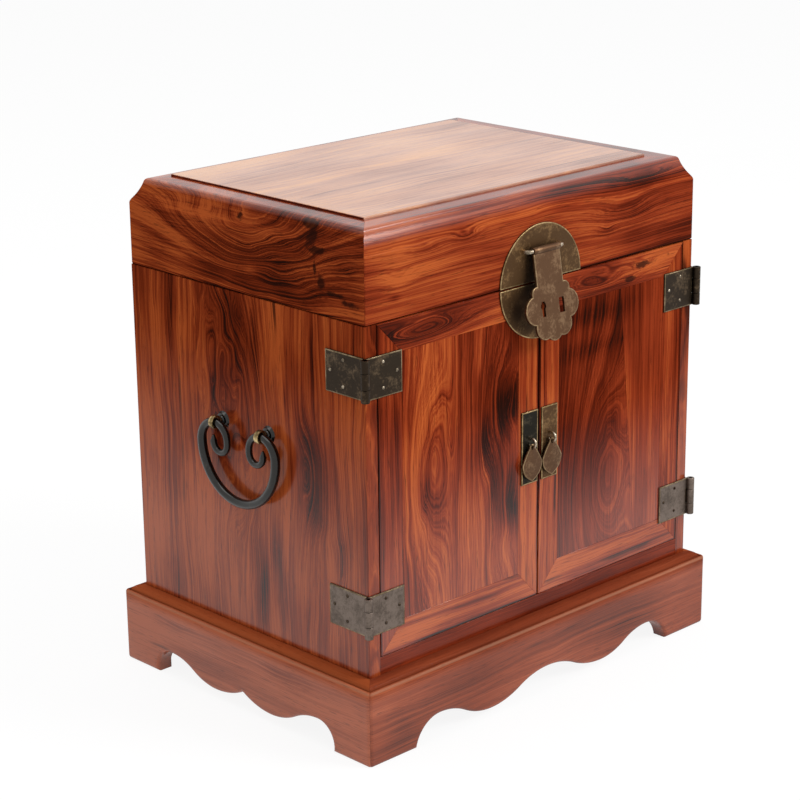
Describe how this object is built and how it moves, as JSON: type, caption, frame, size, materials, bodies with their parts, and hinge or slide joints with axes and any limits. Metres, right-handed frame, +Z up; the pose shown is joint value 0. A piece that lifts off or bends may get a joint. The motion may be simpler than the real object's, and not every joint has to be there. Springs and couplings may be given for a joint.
{
  "type": "seal chest",
  "caption": "Hardwood seal chest with a moulded hinged lid and hasp, hinged doors over drawers, bail side handles and a cusped bracket base",
  "frame": {"origin": "on the floor under the middle of the base", "axes": "+Z up, the doors face -Y, the chest's left side as seen from the front is -X"},
  "size_m": [0.3504, 0.2652, 0.3615],
  "materials": {
    "rosewood": "polished, satin",
    "base_wood": "worn, dull",
    "drawer_wood": "plain, unpolished",
    "hinge_brass": "aged, brown patina",
    "dark_brass": "blackened, worn"
  },
  "bodies": {
    "case": {"left_side_board": "rosewood", "right_side_board": "rosewood", "back_board": "rosewood", "bottom_board": "rosewood", "bottom_rail": "rosewood", "tray_floor": "rosewood", "tray_front_board": "rosewood", "lower_shelf": "rosewood", "upper_shelf": "rosewood", "front_apron": "base_wood", "back_apron": "base_wood", "left_apron": "base_wood", "right_apron": "base_wood", "case_leaves": "hinge_brass", "rear_leaves": "hinge_brass", "hinge_pins": "hinge_brass", "handle_posts": "hinge_brass"},
    "lid": {"lid_front_board": "rosewood", "lid_back_board": "rosewood", "lid_left_board": "rosewood", "lid_right_board": "rosewood", "lid_top_panel": "rosewood", "lid_plate": "hinge_brass", "hasp_bar": "hinge_brass", "lid_leaves": "hinge_brass"},
    "hasp": {"hasp": "hinge_brass"},
    "left_door": {"left_door_hinge_stile": "rosewood", "left_door_meeting_stile": "rosewood", "left_door_top_rail": "rosewood", "left_door_bottom_rail": "rosewood", "left_door_panel": "rosewood", "left_door_leaves": "hinge_brass", "left_door_pull_plate": "hinge_brass", "left_door_pull_staple": "hinge_brass", "left_door_plate": "hinge_brass"},
    "right_door": {"right_door_hinge_stile": "rosewood", "right_door_meeting_stile": "rosewood", "right_door_top_rail": "rosewood", "right_door_bottom_rail": "rosewood", "right_door_panel": "rosewood", "right_door_leaves": "hinge_brass", "right_door_pull_plate": "hinge_brass", "right_door_pull_staple": "hinge_brass"},
    "left_door_drop": {"left_door_drop": "hinge_brass"},
    "right_door_drop": {"right_door_drop": "hinge_brass"},
    "left_bail": {"left_bail": "dark_brass"},
    "right_bail": {"right_bail": "dark_brass"},
    "lower_drawer": {"lower_drawer_front": "rosewood", "lower_drawer_box": "drawer_wood", "lower_drawer_staple": "hinge_brass"},
    "lower_drawer_drop": {"lower_drawer_drop": "hinge_brass"},
    "middle_drawer": {"middle_drawer_front": "rosewood", "middle_drawer_box": "drawer_wood", "middle_drawer_staple": "hinge_brass"},
    "middle_drawer_drop": {"middle_drawer_drop": "hinge_brass"},
    "upper_drawer": {"upper_drawer_front": "rosewood", "upper_drawer_box": "drawer_wood", "upper_drawer_staple": "hinge_brass"},
    "upper_drawer_drop": {"upper_drawer_drop": "hinge_brass"}
  },
  "joints": [
    {"name": "lid_hinge", "type": "hinge", "parent": "case", "child": "lid", "pos_m": [0, 0.1221, 0.2993], "axis": [-1, 0, 0], "range_deg": [0, 105]},
    {"name": "hasp_swing", "type": "hinge", "parent": "lid", "child": "hasp", "pos_m": [0, -0.124, 0.322], "axis": [-1, 0, 0], "range_deg": [0, 168]},
    {"name": "left_door_hinge", "type": "hinge", "parent": "case", "child": "left_door", "pos_m": [-0.1655, -0.1215, 0.185], "axis": [0, 0, -1], "range_deg": [0, 94.5]},
    {"name": "right_door_hinge", "type": "hinge", "parent": "case", "child": "right_door", "pos_m": [0.1655, -0.1215, 0.185], "axis": [0, 0, 1], "range_deg": [0, 94.5]},
    {"name": "left_bail_swing", "type": "hinge", "parent": "case", "child": "left_bail", "pos_m": [-0.1704, 0, 0.206], "axis": [0, 1, 0], "range_deg": [0, 85]},
    {"name": "right_bail_swing", "type": "hinge", "parent": "case", "child": "right_bail", "pos_m": [0.1704, 0, 0.206], "axis": [0, -1, 0], "range_deg": [0, 85]},
    {"name": "left_door_drop_swing", "type": "hinge", "parent": "left_door", "child": "left_door_drop", "pos_m": [-0.01, -0.1224, 0.186], "axis": [-1, 0, 0], "range_deg": [0, 80]},
    {"name": "right_door_drop_swing", "type": "hinge", "parent": "right_door", "child": "right_door_drop", "pos_m": [0.01, -0.1224, 0.186], "axis": [-1, 0, 0], "range_deg": [0, 80]},
    {"name": "lower_drawer_slide", "type": "slide", "parent": "case", "child": "lower_drawer", "axis": [0, -1, 0], "range_m": [0, 0.044]},
    {"name": "lower_drawer_drop_swing", "type": "hinge", "parent": "lower_drawer", "child": "lower_drawer_drop", "pos_m": [0, -0.0934, 0.103], "axis": [-1, 0, 0], "range_deg": [0, 38]},
    {"name": "middle_drawer_slide", "type": "slide", "parent": "case", "child": "middle_drawer", "axis": [0, -1, 0], "range_m": [0, 0.044]},
    {"name": "middle_drawer_drop_swing", "type": "hinge", "parent": "middle_drawer", "child": "middle_drawer_drop", "pos_m": [0, -0.0934, 0.162], "axis": [-1, 0, 0], "range_deg": [0, 38]},
    {"name": "upper_drawer_slide", "type": "slide", "parent": "case", "child": "upper_drawer", "axis": [0, -1, 0], "range_m": [0, 0.044]},
    {"name": "upper_drawer_drop_swing", "type": "hinge", "parent": "upper_drawer", "child": "upper_drawer_drop", "pos_m": [0, -0.0934, 0.22], "axis": [-1, 0, 0], "range_deg": [0, 38]}
  ],
  "couplings": [
    {"joint": "hasp_swing", "follows": "lid_hinge", "ratio": 1.6},
    {"joint": "left_door_hinge", "follows": "lid_hinge", "ratio": 0.9},
    {"joint": "right_door_hinge", "follows": "lid_hinge", "ratio": 0.9},
    {"joint": "lower_drawer_slide", "follows": "lid_hinge", "m_per_rad": 0.02401},
    {"joint": "middle_drawer_slide", "follows": "lid_hinge", "m_per_rad": 0.02401},
    {"joint": "upper_drawer_slide", "follows": "lid_hinge", "m_per_rad": 0.02401}
  ]
}
